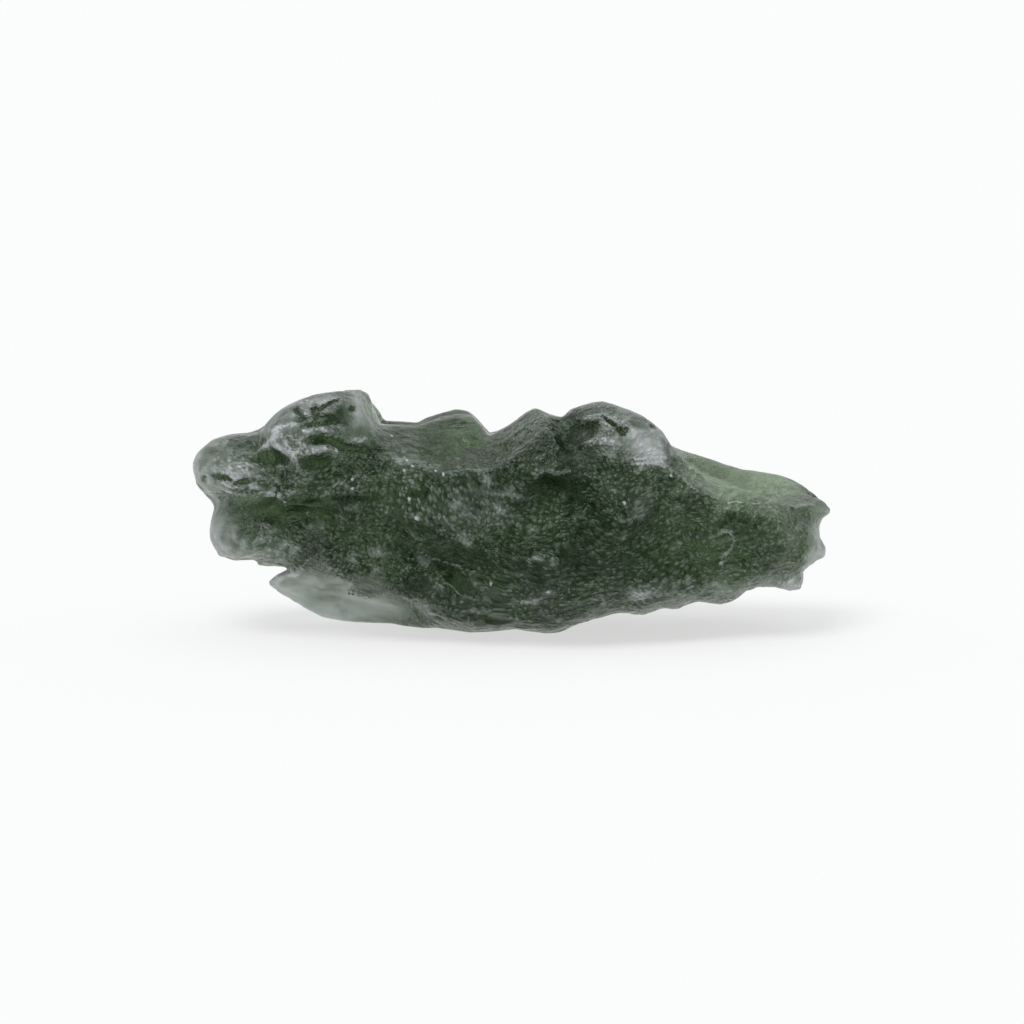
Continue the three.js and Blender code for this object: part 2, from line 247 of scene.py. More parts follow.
# Raised pale threads seen from the front: half width and the points that each passes. A thread's field runs
# out this many half widths from its middle, and the shader cuts a thinner line out of it.
THREAD_REACH = 4.0
THREADS = [
    (0.10, [(-13.7, 6.4), (-12.9, 6.27), (-12.0, 6.22), (-11.2, 6.26), (-10.4, 6.2)]),
    (0.06, [(-12.0, 7.55), (-11.4, 7.2), (-10.9, 6.75), (-10.4, 6.35)]),
    (0.06, [(-11.8, 7.7), (-11.2, 7.45), (-10.7, 7.0), (-10.2, 6.6)]),
    (0.05, [(-12.1, 7.5), (-11.7, 6.85), (-11.2, 6.4)]),
    (0.05, [(-11.5, 8.05), (-11.2, 8.3), (-10.7, 8.4), (-10.2, 8.2), (-9.8, 7.8), (-10.0, 7.5),
            (-10.7, 7.4)]),
    (0.06, [(-10.6, 9.1), (-10.4, 9.27), (-9.9, 9.36), (-9.3, 9.5), (-8.95, 9.75)]),
    (0.06, [(-10.4, 9.27), (-10.25, 8.8), (-10.0, 8.3), (-9.7, 7.9), (-9.5, 7.4), (-9.6, 6.9)]),
    (0.05, [(-10.8, 8.5), (-10.5, 8.9), (-10.4, 9.27)]),
    (0.05, [(-10.0, 8.9), (-9.6, 8.6), (-9.4, 8.4)]),
    (0.10, [(-8.55, 9.2), (-8.1, 8.98), (-7.5, 8.82), (-7.0, 8.7), (-6.6, 8.75)]),
    (0.06, [(-9.3, 10.1), (-9.05, 9.8)]),
    (0.06, [(-7.85, 5.3), (-7.55, 5.2), (-7.3, 5.13)]),
    (0.035, [(-3.4, 2.75), (-3.0, 2.3), (-2.5, 2.1), (-2.1, 1.75), (-1.5, 1.5)]),
    (0.05, [(-4.1, 3.7), (-3.7, 3.5), (-3.2, 3.35), (-2.7, 3.1), (-2.3, 2.9)]),
    (0.07, [(9.0, 4.45), (9.4, 4.68), (9.75, 4.65), (9.95, 4.3), (9.85, 3.9), (9.5, 3.5), (9.35, 3.2)]),
    (0.035, [(7.1, 7.6), (7.9, 6.7), (8.5, 6.3), (9.6, 6.0), (11.2, 5.85), (12.6, 6.1), (13.6, 6.5)]),
    (0.06, [(5.3, 7.9), (6.2, 7.8), (7.0, 7.9)]),
    (0.06, [(5.4, 7.65), (6.4, 7.55), (7.1, 7.6)]),
    (0.07, [(1.8, 7.35), (2.2, 7.2), (2.7, 7.3)]),
    (0.08, [(-3.7, 1.0), (-3.0, 0.75), (-2.7, 0.3)]),
]

# Specks of white dust.
SPECK_RADIUS = 0.085
SPECKS = [
    (-4.4, 7.5), (-4.8, 7.35), (-4.5, 6.05), (-4.3, 5.2), (-9.35, 9.15), (-8.4, 9.1), (-7.8, 8.2),
    (-3.7, 7.6), (-7.05, 7.0), (-7.0, 6.6), (-0.95, 2.25), (5.1, 5.9), (-3.4, 7.3), (-3.1, 7.15),
    (6.8, 7.75), (7.25, 7.15), (-10.2, 5.9), (-5.3, 8.9), (-4.7, 7.9), (1.65, 1.9), (-9.2, 5.5),
]

# How each region below fades with the distance from its centre, counted in its half sizes.
REGION_FADE = (-1.4, 1.7)

# Where soft frost lies, with one painted sheen among them: centre, half sizes and strength.
FROST_AND_SHEEN = [
    ((-14.0, -1.0, 8.0), (2.4, 5.0, 2.6), 0.44),
    ((-10.6, -2.5, 10.2), (2.4, 5.0, 1.1), 0.4),
    ((-9.6, -2.2, 11.0), (2.8, 4.6, 0.9), 0.5),
    ((-6.6, -2.2, 10.2), (1.3, 3.6, 1.6), 0.44),
    ((-12.4, -2.2, 7.4), (2.0, 3.0, 1.6), 0.36),
    ((-9.4, -2.6, 9.2), (2.8, 3.6, 1.8), 0.42),
    ((-13.9, -0.5, 4.3), (2.8, 5.0, 2.6), 0.48),
    ((-11.4, -1.2, 3.6), (3.2, 4.0, 1.2), 0.35),
    ((4.9, -2.0, 9.4), (2.2, 4.0, 1.3), 0.42),
    ((6.4, -2.0, 8.8), (1.9, 4.0, 1.2), 0.7),
    ((14.2, -1.0, 3.4), (1.1, 5.0, 2.2), 0.6),
    ((12.0, -2.0, 2.2), (1.6, 4.0, 0.7), 0.45),
    ((-8.2, 0.0, 1.2), (4.6, 4.0, 2.1), 0.84),
    ((-4.6, -3.0, 7.8), (1.4, 2.0, 1.0), 0.35),
    # painted sheen: a pale patch on the middle of the front face, standing in for the bright reflection of
    # the light above
    ((-1.5, -4.4, 6.3), (2.2, 2.4, 1.6), 0.33),
    ((7.4, -3.0, 1.9), (4.4, 3.0, 0.9), 0.3),
]
FROST_PATCH_SIZE = 1.3
FROST_RANGE = (0.88, 0.3)  # the middle and the swing of how evenly it lies
FROST_LEAST = 0.1
RIM_FROST = 0.05  # along the outline at the two ends
RIM_WIDTH = 0.9
RIM_ENDS = (5, 10)  # how far out along the stone it starts, and is whole
BULGE_FROST = 0.3  # on what stands out
BULGE_START = 0.3
BULGE_CLEAR = 0.6  # how much of that the clean glass is spared

# Where the glass is clean enough to glow: centre, half sizes and strength.
CLEAR = [
    ((-2.6, 1.0, 8.8), (4.6, 4.4, 2.6), 0.2),
    ((-10.0, -2.0, 5.9), (3.6, 3.0, 0.6), 0.12),
    ((13.0, -1.4, 5.0), (1.8, 4.0, 2.0), 0.34),
    ((-8.2, 0.0, 1.2), (4.6, 4.0, 2.0), 0.27),
]

# The right scoop's bowl, in the same way, and its painted sheen: frost and a clear tint laid only on its
# upward faces, standing in for the bright light they reflect.
SHEEN_BOWL = ((9.8, 0.3, 7.0), (5.4, 5.6, 2.6), 0.6)
BOWL_SHEEN = 0.6
BOWL_SHEEN_SLOPE = (0.38, 0.55)  # only where the faces look up by this much

# Where the skin is smooth, without the fine etching: centre, half sizes and strength.
CALM = [
    ((-14.2, -1.0, 7.6), (1.5, 5.0, 2.6), 0.8),
    ((-11.6, -1.6, 9.9), (2.6, 5.0, 1.0), 0.9),
    ((-6.8, -3.0, 10.0), (1.0, 3.0, 1.3), 0.8),
    ((-13.2, -1.0, 4.2), (2.2, 5.0, 2.2), 0.85),
    ((-10.0, -2.4, 5.9), (3.4, 3.0, 0.6), 0.7),
    ((-8.2, 0.0, 1.2), (4.8, 4.0, 2.1), 1.0),
    ((-2.8, 1.6, 9.2), (4.4, 3.6, 2.3), 0.95),
    ((10.6, 1.0, 7.0), (4.2, 4.0, 1.3), 0.85),
    ((5.9, -2.0, 9.0), (1.8, 4.0, 1.1), 0.55),
    ((14.0, -1.0, 4.0), (1.2, 5.0, 3.2), 0.7),
]

# Where a web of fine threads covers the skin: centre, half sizes and strength.
WEBBED = [
    ((-9.6, -2.2, 8.4), (2.4, 4.0, 2.2), 0.55),
    ((-12.0, -2.0, 7.0), (2.2, 4.0, 1.0), 0.6),
    ((-6.0, -3.0, 7.0), (2.0, 3.0, 2.0), 0.5),
    ((11.6, -2.0, 5.2), (2.6, 4.0, 1.6), 0.5),
]

# How broad a face is to the front or the back, where it takes flat beads.
BROAD_FACE = (0.35, 0.65)

# Wide patches of a skin that is more or less crowded with beads.
PATCH_SCALE = 0.7
PATCH_WARP = 0.4
PATCH_CONTRAST = 0.32

# What is stored at each point of the mesh for the shader, apart from the flow.
LOOKS = ("frost_and_sheen", "clear", "web", "etched", "broad", "patches", "window", "thread", "speck")

# Glass.
REFRACTION = 1.49
VEIL_BODY = 0.62  # how much of the glass's clearness full frost takes away
DEPTH_COLOUR = (0.27, 0.40, 0.20, 1)
DEPTH_DENSITY = 220.0  # per metre
BODY_DARK = (0.05, 0.085, 0.035, 1)
BODY_LIGHT = (0.17, 0.25, 0.13, 1)
MURK_EDGE = (0.75, 1.2)  # where the light body starts and is whole
CLEAR_TINT = (0.76, 0.93, 0.64, 1)
GLOW_TINT = (0.42, 0.56, 0.37, 1)
# the colour that frost, painted sheen and painted glints whiten the skin towards
FROST_AND_SHEEN_TINT = (0.83, 0.85, 0.9, 1)
GLOSS_TINT = (0.26, 0.36, 0.28, 1)  # takes some of the white out of head-on reflections
ROUGH_LOW = 0.1
ROUGH_PATCHES = 0.12
ROUGH_FROST = 0.35

# The skin's textures, in features per millimetre. A scale of three is along the flow, in depth and across it.
STREAK_SCALE = (1.1, 1.6, 2.6)
STREAK_DETAIL = 3.0
GRAIN_SCALE = 7.0
GRAIN_DETAIL = 1.0
PIT_SCALE = 2.6
WEB_SCALE = 0.9
BEAD_SCALE = (2.8, 1.4, 4.2)
BEAD_SHAKE = (1.2, 0.4)  # the scale and reach of the noise that pushes beads about
FINE_BEADS = 1.4  # times that scale
COARSE_BEADS = 1.0
COARSE_SHARE = 0.75
SIDE_BEADS = 1.0

# Values of the textures between which each mark goes from nothing to whole.
BEAD_EDGE = (0.5, 0.14)
BEAD_CHANCE = (-0.1, 0.9)
CROWD_EDGE = (0.0, 0.55)
DASH_EDGE = (0.54, 0.74)
WEB_EDGE = (0.05, 0.01)
WINDOW_EDGE = (0.2, 0.9)
THREAD_EDGE = (0.62, 0.9)
SPECK_EDGE = (0.3, 0.8)
VEIL_EDGE = (0.0, 0.95)
WINDOW_RAGGED = 1.5  # how much the grain eats into windows and threads
THREAD_RAGGED = 1.2

# Heights of the skin's textures in millimetres, and how much of them a calm skin keeps.
STREAK_HEIGHT = 0.12
BEAD_HEIGHT = 0.08
LONE_BEAD_HEIGHT = 0.01  # where the skin isn't crowded
PIT_DEPTH = 0.12
THREAD_BUMP = 0.05
GRAIN_HEIGHT = 0.025
CALM_SHARE = 0.15

# How much each texture whitens the skin. The beads and dashes are partly frost and partly painted glints: a
# white dot on each bead stands in for the highlight it catches.
STREAK_WHITE = 0.42
GRAIN_WHITE = 0.3
BEAD_FROST_AND_GLINT = 0.42
DASH_FROST_AND_GLINT = 0.22
THREAD_WHITE = 0.4

# The photograph's view.
MM_PER_PIXEL = 0.045
FRAME_PIXELS = 1024
GROUND_PIXEL = 634  # the row where the stone's lowest point shows
LENS = 400.0
SENSOR = 36.0

# Studio.
FLOOR_SIZE = 6.0
FLOOR_TONE = (0.32, 0.32, 0.32, 1)
FLOOR_GLOW = 0.622
PAPER_WHITE = 0.956
WORLD_TINT = (0.96, 0.99, 1.0, 1)
WORLD_FRONT = 0.09
WORLD_BACK = 0.7
WORLD_TOP = 0.4
WORLD_TURN = (-0.7, 0.5)  # from where to where the light goes over from front to back
WORLD_RISE = (0.3, 1.0)  # and from where to where it gains at the top
LAMP_ENERGY = 1.6
LAMP_ANGLE = 36
LAMP_FROM = (-0.35, -0.3, 1.0)


def smooth_max(a, b, blend):
    near = np.clip(blend - np.abs(a - b), 0, None) / blend
    return np.maximum(a, b) + near * near * (blend / 4)


def smooth_min(a, b, blend):
    return -smooth_max(-a, -b, blend)


def inside_outline(px, ph, corners):
    """Distance from an outline in the front view, positive inside it."""
    nearest = np.full(px.shape, np.inf)
    inside = np.zeros(px.shape, bool)
    for (x1, h1), (x2, h2) in zip(corners[-1:] + corners[:-1], corners):
        dx, dh = x2 - x1, h2 - h1
        share = np.clip(((px - x1) * dx + (ph - h1) * dh) / (dx * dx + dh * dh), 0, 1)
        nearest = np.minimum(nearest, np.hypot(px - x1 - share * dx, ph - h1 - share * dh))
        if dh:
            crossing = x1 + dx * (ph - h1) / dh
            inside ^= ((h1 > ph) != (h2 > ph)) & (px < crossing)
    return np.where(inside, nearest, -nearest)


def outside_ellipsoid(points, centre, radii, turn):
    """About how far points lie outside an ellipsoid. points is x, y and z as arrays that broadcast."""
    back = np.array(Euler([math.radians(a) for a in turn], "ZYX").to_matrix().inverted())
    offsets = [p - c for p, c in zip(points, centre)]
    shares = [sum(offsets[k] * back[row, k] for k in range(3)) / radii[row] for row in range(3)]
    reach = np.sqrt(sum(s * s for s in shares))
    slope = np.sqrt(sum((s / r) ** 2 for s, r in zip(shares, radii))) + 1e-9
    return reach * (reach - 1) / slope


def waves(x, y, z):
    """A soft wave pattern, from about -1 to 1."""
    return (np.sin(x) * np.cos(y) + np.sin(y) * np.cos(z) + np.sin(z) * np.cos(x)) / 1.5


def turned(points, axis, angle):
    """x, y and z turned about an axis."""
    turn = np.array(Matrix.Rotation(angle, 3, Vector(axis).normalized()))
    return [sum(points[k] * turn[row, k] for k in range(3)) for row in range(3)]


def etching(points):
    total = 0
    for i, (wavelength, depth) in enumerate(RELIEF):
        moved = turned(points, (1, i + 1, 2 - i), WAVE_TURN * (i + 1))
        total = total + depth * waves(*[p * (2 * math.pi / wavelength) + WAVE_SHIFT * i for p in moved])
    return total


def view_height(y, z):
    return z * math.cos(VIEW_TILT) + (y - FOOT_FRONT_Y) * math.sin(VIEW_TILT)


def inside_all_along(corners, x, height):
    """Distance inside an outline in the front view, for every point of the grid."""
    rows = np.arange(height.min() - CELL, height.max() + 2 * CELL, CELL / 2)
    table = inside_outline(*np.meshgrid(x, rows, indexing="ij"), corners)
    place = (height - rows[0]) / (rows[1] - rows[0])
    row = place.astype(int)
    share = place - row
    return (table[:, row] * (1 - share) + table[:, row + 1] * share).astype(np.float32)


def stone_field():
    """How far each point of the grid lies outside the stone, in millimetres, below zero inside it."""
    x, y, z = [np.arange(low, high, CELL) for low, high in zip(GRID_LOW, GRID_HIGH)]
    height = view_height(y[:, None], z[None, :])
    inset = inside_all_along(OUTLINE, x, height) + EDGE_ROOM
    points = [x.astype(np.float32)[:, None, None], y.astype(np.float32)[None, :, None],
              z.astype(np.float32)[None, None, :]]
    along = points[0] / REACH
    thickness = BELLY * np.sqrt(np.maximum(1 - along ** 2, THIN_END))
    middle = BOW * along ** 2 + LEAN * (points[2] - MID_HEIGHT)
    to_rim = (RIM - np.minimum(inset, RIM)) / RIM
    field = (np.hypot(to_rim, (points[1] - middle) / thickness) - 1) * np.minimum(RIM, thickness)
    for kind, _, centre, radii, turn, blend in FORMS:
        reach = max(radii) + blend + FORM_MARGIN
        spans = [slice(*np.searchsorted(axis, (c - reach, c + reach))) for axis, c in zip((x, y, z), centre)]
        near = [points[0][spans[0]], points[1][:, spans[1]], points[2][:, :, spans[2]]]
        outside = outside_ellipsoid(near, centre, radii, turn).astype(np.float32)
        block = field[tuple(spans)]
        if kind == "lump":
            field[tuple(spans)] = smooth_min(block, outside, blend)
        else:
            field[tuple(spans)] = smooth_max(block, -outside, blend)
    field += etching(points) * np.clip(inset / CALM_RIM, 0, 1)
    field = smooth_max(field, -inset, EDGE_ROUND)
    field = smooth_max(field, inside_all_along(GAP, x, height), GAP_ROUND)
    return smooth_max(field, -points[2], FOOT_ROUND)


def surface_of(field):
    """The surface where the field is zero, as points and four-sided faces."""
    grid = openvdb.FloatGrid(1.0)
    grid.copyFromArray(np.clip(field, -FIELD_LIMIT, FIELD_LIMIT).astype(np.float32))
    points, _, quads = grid.convertToPolygons(isovalue=0.0, adaptivity=0.0)
    return points.astype(float) * CELL + GRID_LOW, quads.astype(np.int64)


def edges_of(quads):
    return np.concatenate([quads[:, (k, (k + 1) % 4)] for k in range(4)])


def largest_part(points, quads):
    """Drops every crumb that isn't joined to the stone."""
    edges = edges_of(quads)
    label = np.arange(len(points))
    while True:
        lowest = label.copy()
        np.minimum.at(lowest, edges[:, 0], label[edges[:, 1]])
        np.minimum.at(lowest, edges[:, 1], label[edges[:, 0]])
        lowest = lowest[lowest]
        if np.array_equal(lowest, label):
            break
        label = lowest
    kept = label == np.bincount(label).argmax()
    renumbered = np.cumsum(kept) - 1
    return points[kept], renumbered[quads[kept[quads[:, 0]]]]


def face_normals(points, quads):
    corners = points[quads]
    return np.cross(corners[:, 2] - corners[:, 0], corners[:, 3] - corners[:, 1])


def facing_out(points, quads):
    """The faces, turned round if they look into the stone."""
    volume = np.einsum("ij,ij->", points[quads].mean(axis=1), face_normals(points, quads))
    return quads if volume >= 0 else quads[:, ::-1]


def point_normals(points, quads):
    faces = face_normals(points, quads)
    normals = np.zeros_like(points)
    for k in range(4):
        np.add.at(normals, quads[:, k], faces)
    return normals / (np.linalg.norm(normals, axis=1, keepdims=True) + 1e-12)


def neighbour_mean(values, edges, counts):
    total = np.zeros_like(values)
    np.add.at(total, edges[:, 0], values[edges[:, 1]])
    np.add.at(total, edges[:, 1], values[edges[:, 0]])
    return total / (counts[:, None] if values.ndim > 1 else counts)


def bulge_of(points, normals, quads):
    """How far each point stands out from those around it, mostly from -1 to 1."""
    edges = edges_of(quads)
    counts = np.bincount(edges.ravel(), minlength=len(points)).astype(float)
    bulge = np.einsum("ij,ij->i", normals, points - neighbour_mean(points, edges, counts))
    for _ in range(BULGE_SMOOTHINGS):
        bulge = neighbour_mean(bulge, edges, counts)
    return bulge / (2 * bulge.std())


def lattice_random(cell, seed):
    """A repeatable random number from 0 to 1 for each whole-numbered cell. The primes only mix its digits."""
    x, y, z = [cell[..., k].astype(np.int64) for k in range(3)]
    mixed = (x * 73856093) ^ (y * 19349663) ^ (z * 83492791) ^ (seed * 2654435761)
    mixed = (mixed ^ (mixed >> 13)) * 1274126177
    mixed = mixed ^ (mixed >> 16)
    return (mixed & 0xFFFFFF) / float(0x1000000)


def value_noise(points, seed):
    """Smooth noise from -1 to 1 with features about one unit across."""
    base = np.floor(points)
    share = points - base
    share = share * share * (3 - 2 * share)
    total = 0
    for corner in np.ndindex(2, 2, 2):
        weight = np.prod(np.where(np.array(corner), share, 1 - share), axis=1)
        total = total + weight * lattice_random(base + np.array(corner), seed)
    return 2 * total - 1


def layered_noise(points, seed, layers=3):
    return sum(value_noise(points * 2 ** k, seed + k) / 2 ** k for k in range(layers))


def cells(points, seed):
    """Distance to the nearest of many scattered points, about one unit apart."""
    base = np.floor(points)
    nearest = np.full(len(points), np.inf)
    for offset in np.ndindex(3, 3, 3):
        cell = base + np.array(offset) - 1
        spot = cell + np.stack([lattice_random(cell, seed + k) for k in range(3)], axis=1)
        nearest = np.minimum(nearest, np.linalg.norm(points - spot, axis=1))
    return nearest


def bell(value, width):
    return np.exp(-(value / width) ** 2)


def step(value, low, high):
    """0 at one value, 1 at the other, and smooth between them."""
    share = np.clip((value - low) / (high - low), 0, 1)
    return share * share * (3 - 2 * share)


def faded(values, slope, start):
    """A straight rise or fall with the values, held between 0 and 1."""
    return np.clip(slope * values + start, 0, 1)


def in_mark(x, height, middle, half_sizes, slope, edge=MARK_EDGE):
    """1 inside an oval mark in the front view, falling to 0 at its edge."""
    c, s = math.cos(math.radians(slope)), math.sin(math.radians(slope))
    dx, dh = x - middle[0], height - middle[1]
    return step(np.hypot((dx * c + dh * s) / half_sizes[0], (dh * c - dx * s) / half_sizes[1]), *edge)


def on_thread(x, height, half_width, route):
    """1 on a thread's route in the front view, falling to 0 at its reach."""
    nearest = np.full(len(x), np.inf)
    for (x1, h1), (x2, h2) in zip(route, route[1:]):
        dx, dh = x2 - x1, h2 - h1
        share = np.clip(((x - x1) * dx + (height - h1) * dh) / (dx * dx + dh * dh), 0, 1)
        nearest = np.minimum(nearest, np.hypot(x - x1 - share * dx, height - h1 - share * dh))
    return np.clip(1 - nearest / (THREAD_REACH * half_width), 0, 1)


def drawn(points, normals):
    """How strongly each point shows windows, pale patches, threads and specks, all seen from the front."""
    facing = faded(-normals[:, 1], *FRONT_FADE)
    ragged = [layered_noise(points / RAGGED_SIZE + RAGGED_SPREAD * k, SEEDS["ragged"] + k, 2)
              for k in range(2)]
    x = points[:, 0] + RAGGED_REACH * ragged[0]
    height = view_height(points[:, 1], points[:, 2]) + RAGGED_REACH * ragged[1]
    kinds = {
        "window": [in_mark(x, height, *entry) for entry in WINDOWS],
        "patch": [in_mark(x, height, *entry, SOFT_EDGE) for entry in PALE_PATCHES],
        "thread": [on_thread(x, height, *entry) for entry in THREADS],
        "speck": [in_mark(x, height, middle, (SPECK_RADIUS, SPECK_RADIUS), 0) for middle in SPECKS],
    }
    return {name: facing * np.max(amounts, axis=0) for name, amounts in kinds.items()}


def fine_relief(points, normals, warp, marks):
    """How far each point is raised, in millimetres."""
    x, height = points[:, 0], view_height(points[:, 1], points[:, 2])
    bent = points + RELIEF_WARP * warp
    rough = ROUGH_RANGE[0] + ROUGH_RANGE[1] * value_noise(points / ROUGH_SIZE, SEEDS["rough"])
    level = 1 - TOP_LOSS * faded(normals[:, 2], *TOP_FADE)
    relief = CUP_DEPTH * rough * level * (cells(bent / CUP_SIZE, SEEDS["cups"]) ** 2 - CUP_LEVEL)
    relief += GRIT_DEPTH * level * (GRIT_LEVEL - cells(bent / GRIT_SIZE, SEEDS["grit"]))
    relief += THREAD_HEIGHT * step(marks["thread"], *THREAD_WALL)
    relief -= WINDOW_DEPTH * step(marks["window"], *WINDOW_WALL)
    near_terrace = (bell(x - TERRACE_CENTRE[0], TERRACE_SPREAD[0])
                    * bell(height - TERRACE_CENTRE[1], TERRACE_SPREAD[1]))
    steps = (height + TERRACE_SLOPE * x) / TERRACE_STEP
    relief += TERRACE_DEPTH * (normals[:, 1] < 0) * near_terrace * (steps - np.floor(steps) - 0.5)
    return relief * np.clip(points[:, 2] / FOOT_FADE, 0, 1)


def region(points, regions):
    """How strongly each point lies in any of the regions."""
    amount = np.zeros(len(points))
    for centre, radii, strength in regions:
        distance = np.linalg.norm((points - np.array(centre)) / np.array(radii), axis=1)
        amount = np.maximum(amount, strength * faded(distance, *REGION_FADE))
    return amount


def frost_amount(points, normals, warp, marks, quads, clear):
    """Where the skin is frosted white, or whitened by painted sheen, from 0 to 1."""
    inset = inside_outline(points[:, 0], view_height(points[:, 1], points[:, 2]), OUTLINE)
    patches = layered_noise((points + warp) / FROST_PATCH_SIZE, SEEDS["frost_and_sheen"])
    bulge = bulge_of(points, normals, quads)
    amount = region(points, FROST_AND_SHEEN) * np.clip(FROST_RANGE[0] + FROST_RANGE[1] * patches, FROST_LEAST, 1)
    amount += RIM_FROST * step(inset, RIM_WIDTH, 0) * step(np.abs(points[:, 0]), *RIM_ENDS)
    amount += BULGE_FROST * np.clip(bulge - BULGE_START, 0, 1) * (1 - BULGE_CLEAR * clear)
    amount = np.maximum(amount, PATCH_FROST * marks["patch"])
    return np.clip(amount, 0, 1)


def skin_looks(points, normals, warp, marks, quads):
    """What the shader is told about each point, by name."""
    # painted sheen on the bowl's upward faces, whitening them and clearing their tint
    bowl_sheen = region(points, [SHEEN_BOWL]) * step(normals[:, 2], *BOWL_SHEEN_SLOPE)
    clear = np.maximum(region(points, CLEAR), bowl_sheen)
    frost_and_sheen = frost_amount(points, normals, warp, marks, quads, clear)
    patches = layered_noise(points * PATCH_SCALE + PATCH_WARP * warp, SEEDS["patches"])
    looks = {
        "frost_and_sheen": np.maximum(frost_and_sheen, BOWL_SHEEN * bowl_sheen),
        "clear": clear,
        "web": region(points, WEBBED),
        "etched": 1 - region(points, CALM),
        "broad": step(np.abs(normals[:, 1]), *BROAD_FACE),
        "patches": 0.5 + PATCH_CONTRAST * patches,
    }
    return {name: looks[name] if name in looks else marks[name] for name in LOOKS}


def flow_place(points, warp):
    """Each point's distance along the flow, depth and distance across it, in millimetres."""
    x = np.linspace(*FLOW_SPAN)
    spacing = x[1] - x[0]
    slope = np.interp(x, *zip(*FLOW))
    rise = np.cumsum(slope) * spacing
    rise += MID_HEIGHT - rise[len(x) // 2]
    length = np.cumsum(np.hypot(1, slope)) * spacing
    slope_here, rise_here, length_here = [np.interp(points[:, 0], x, line) for line in (slope, rise, length)]
    above = (view_height(points[:, 1], points[:, 2]) - rise_here) / np.hypot(1, slope_here)
    return np.stack([length_here + above * slope_here, points[:, 1], above], axis=1) + FLOW_WARP * warp


def stone_mesh():
    """The stone's points and faces in millimetres, and what the shader is told about each point."""
    points, quads = largest_part(*surface_of(stone_field()))
    quads = facing_out(points, quads)
    normals = point_normals(points, quads)
    warp = [layered_noise(points / WARP_SIZE + WARP_SPREAD * k, SEEDS["warp"] + k) for k in range(3)]
    warp = np.stack(warp, axis=1)
    marks = drawn(points, normals)
    points = points + normals * fine_relief(points, normals, warp, marks)[:, None]
    points[:, 2] = np.maximum(points[:, 2], 0)
    normals = point_normals(points, quads)
    return points, quads, skin_looks(points, normals, warp, marks, quads), flow_place(points, warp)


def framed(points):
    """Millimetre points moved so that their box stands in the middle of the solid's, in metres."""
    low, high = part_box(NODE)
    middle = (points.min(axis=0) + points.max(axis=0)) / 2 * MM
    shift = np.array([(low[0] + high[0]) / 2 - middle[0], (low[1] + high[1]) / 2 - middle[1], 0])
    return points * MM + shift, shift


def make_stone():
    points, quads, looks, flow = stone_mesh()
    points, shift = framed(points)
    mesh = bpy.data.meshes.new("moldavite_glass")
    mesh.from_pydata(points.tolist(), [], quads.tolist())
    for name, values in looks.items():
        mesh.attributes.new(name, "FLOAT", "POINT").data.foreach_set("value", values)
    mesh.attributes.new("flow", "FLOAT_VECTOR", "POINT").data.foreach_set("vector", flow.ravel())
    mesh.shade_smooth()
    mesh.update()
    stone = bpy.data.objects.new("moldavite_glass", mesh)
    bpy.context.scene.collection.objects.link(stone)
    mesh.materials.append(glass_material())
    return stone, shift


class Nodes:
    """A material's node tree, with short calls to add to it."""

    def __init__(self, tree):
        self.tree = tree

    def add(self, kind, settings=None, **inputs):
        node = self.tree.nodes.new(kind)
        for name, value in (settings or {}).items():
            setattr(node, name, value)
        for name, value in inputs.items():
            self.set(node, name.replace("_", " "), value)
        return node

    def set(self, node, name, value):
        socket = node.inputs[int(name) if name.isdigit() else name]
        if isinstance(value, bpy.types.NodeSocket):
            self.tree.links.new(value, socket)
        else:
            socket.default_value = value

    def math(self, operation, *values):
        node = self.tree.nodes.new("ShaderNodeMath")
        node.operation = operation
        for i, value in enumerate(values):
            self.set(node, str(i), value)
        return node.outputs[0]

    def shaken(self, place, scale, reach):
        """A place moved about by soft noise of the scale, by up to half the reach."""
        noise = self.add("ShaderNodeTexNoise", Vector=place, Scale=scale, Detail=0.0).outputs["Color"]
        shift = self.add("ShaderNodeVectorMath", {"operation": "MULTIPLY_ADD"})
        self.set(shift, "0", noise)
        self.set(shift, "1", (reach, reach, reach))
        self.set(shift, "2", place)
        return shift.outputs[0]

    def beads(self, place, dimensions, scale):
        """Scattered round beads, some higher than others, from 0 between them to 1."""
        cell = self.add("ShaderNodeTexVoronoi", {"feature": "F1", "voronoi_dimensions": dimensions},
                        Vector=place, Scale=scale)
        chance = self.add("ShaderNodeSeparateColor", Color=cell.outputs["Color"]).outputs[0]
        dome = self.ramp(cell.outputs["Distance"], *BEAD_EDGE)
        return self.math("MULTIPLY", dome, self.ramp(chance, *BEAD_CHANCE))

    def stored(self, name):
        """What the mesh stores under a name: one number for each point, or three for the flow."""
        outputs = self.add("ShaderNodeAttribute", {"attribute_name": name}).outputs
        return outputs["Vector" if name == "flow" else "Fac"]

    def ramp(self, value, low, high, start=0.0, end=1.0):
        """One result below a value, another above a second value, and smooth between them."""
        return self.add("ShaderNodeMapRange", {"interpolation_type": "SMOOTHSTEP"}, Value=value,
                        From_Min=low, From_Max=high, To_Min=start, To_Max=end).outputs[0]

    def blend(self, factor, low, high):
        node = self.tree.nodes.new("ShaderNodeMix")
        node.data_type = "RGBA"
        for i, value in ((0, factor), (6, low), (7, high)):
            self.set(node, str(i), value)
        return node.outputs[2]


def bead_texture(nodes, flow, broad):
    """Beads left by the etching: flat ones on the broad faces and round ones on the sides."""
    place = nodes.add("ShaderNodeMapping", Vector=flow, Scale=BEAD_SCALE).outputs[0]
    place = nodes.shaken(place, *BEAD_SHAKE)
    face_place = nodes.add("ShaderNodeMapping", Vector=place, Rotation=(math.pi / 2, 0, 0)).outputs[0]
    fine = nodes.beads(face_place, "2D", FINE_BEADS)
    coarse = nodes.math("MULTIPLY", nodes.beads(face_place, "2D", COARSE_BEADS), COARSE_SHARE)
    on_faces = nodes.math("MAXIMUM", fine, coarse)
    on_sides = nodes.beads(place, "3D", SIDE_BEADS)
    return nodes.math("MULTIPLY_ADD", nodes.math("SUBTRACT", on_faces, on_sides), broad, on_sides)


